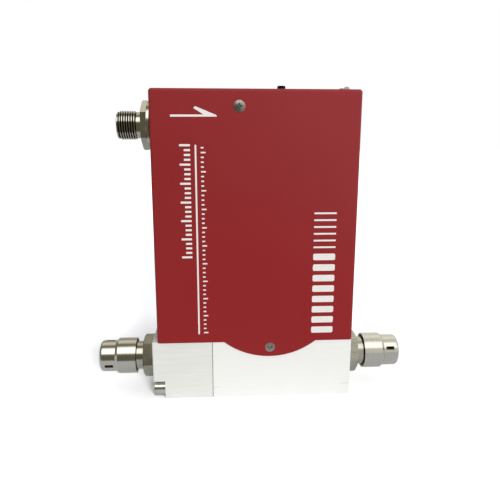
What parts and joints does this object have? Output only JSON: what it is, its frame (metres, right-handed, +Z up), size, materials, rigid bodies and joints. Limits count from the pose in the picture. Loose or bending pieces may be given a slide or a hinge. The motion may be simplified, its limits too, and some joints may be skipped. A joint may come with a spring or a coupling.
{
  "type": "mass flow controller",
  "caption": "Gas mass flow controller: steel flow block with capped face-seal fittings under a red sheet cover, with a round side connector, a zero button and a status lens.",
  "frame": {"origin": "middle of the overall box at the level of the block's underside, the face that it is mounted on", "axes": "+X the flow direction from inlet to outlet, +Y from the front face to the back, +Z up through the cover"},
  "size_m": [0.1402, 0.0322, 0.1373],
  "materials": {
    "painted_red": "satin baked paint, fine grain",
    "block_steel": "milled stainless steel with fine brushing",
    "fitting_steel": "turned stainless steel, semi-bright",
    "cap_steel": "turned stainless steel, circular brushing",
    "screw_steel": "bright stainless steel",
    "zinc_steel": "zinc plated steel, dull",
    "nickel": "nickel plated brass, bright",
    "contact_gold": "gold plated contacts",
    "black_plastic": "moulded plastic, matt",
    "insert_plastic": "moulded plastic, matt",
    "clear_lens": "clear moulding, polished",
    "board_green": "solder mask over glass laminate",
    "chip_black": "moulded chip case",
    "can_aluminium": "drawn aluminium can",
    "sheet_aluminium": "folded sheet, mill finish",
    "soft_seal": "moulded elastomer",
    "metal_seal": "annealed nickel, satin",
    "sintered_steel": "sintered stainless steel, porous",
    "copper": "enamelled winding wire",
    "ceramic": "layered ceramic with a lacquer coat",
    "actuator_steel": "turned low-expansion steel",
    "lead_grey": "insulated lead",
    "film_amber": "polyimide film with copper tracks"
  },
  "bodies": {
    "controller": {"actuator_housing": "actuator_steel", "actuator_leads": "lead_grey", "adjuster_nut": "zinc_steel", "board_link": "chip_black", "board_posts": "nickel", "board_screws": "zinc_steel", "board_spacers": "nickel", "bypass_element": "fitting_steel", "capacitors": "can_aluminium", "chassis": "sheet_aluminium", "chassis_screws": "zinc_steel", "clamp_screws": "screw_steel", "clamp_washers": "screw_steel", "connector_gasket": "soft_seal", "connector_insert": "insert_plastic", "connector_nut": "nickel", "connector_pins": "contact_gold", "connector_ribbon": "lead_grey", "connector_shell": "nickel", "control_board": "board_green", "cover": "painted_red", "inlet_block": "block_steel", "inlet_cap": "cap_steel", "inlet_filter": "sintered_steel", "inlet_fitting": "fitting_steel", "inlet_seal": "metal_seal", "lower_cover_screws": "screw_steel", "main_block": "block_steel", "outlet_cap": "cap_steel", "outlet_fitting": "fitting_steel", "panel_board": "board_green", "panel_header": "chip_black", "panel_screws": "zinc_steel", "piezo_stack": "ceramic", "power_board": "board_green", "processor_chip": "chip_black", "sensor_base": "fitting_steel", "sensor_case_back": "sheet_aluminium", "sensor_case_front": "sheet_aluminium", "sensor_coils": "copper", "sensor_flex": "film_amber", "sensor_screws": "screw_steel", "sensor_seals": "metal_seal", "sensor_tube": "fitting_steel", "stack_adjuster": "actuator_steel", "stack_cap": "actuator_steel", "status_lens": "clear_lens", "switch_base": "black_plastic", "switch_dome": "metal_seal", "switch_plate": "zinc_steel", "thrust_ball": "fitting_steel", "upper_cover_screws": "zinc_steel", "valve_bonnet": "fitting_steel", "valve_diaphragm": "metal_seal", "valve_plunger": "fitting_steel", "valve_screws": "screw_steel", "valve_seal": "metal_seal", "valve_seat": "fitting_steel"},
    "button": {"zero_button": "black_plastic"}
  },
  "joints": [
    {"name": "zero_button_press", "type": "slide", "parent": "controller", "child": "button", "axis": [0, 0, -1], "range_m": [0, 0.00025], "stiffness_N_per_m": 4000, "springref_m": -0.00015, "deforming": ["switch_dome"]}
  ]
}
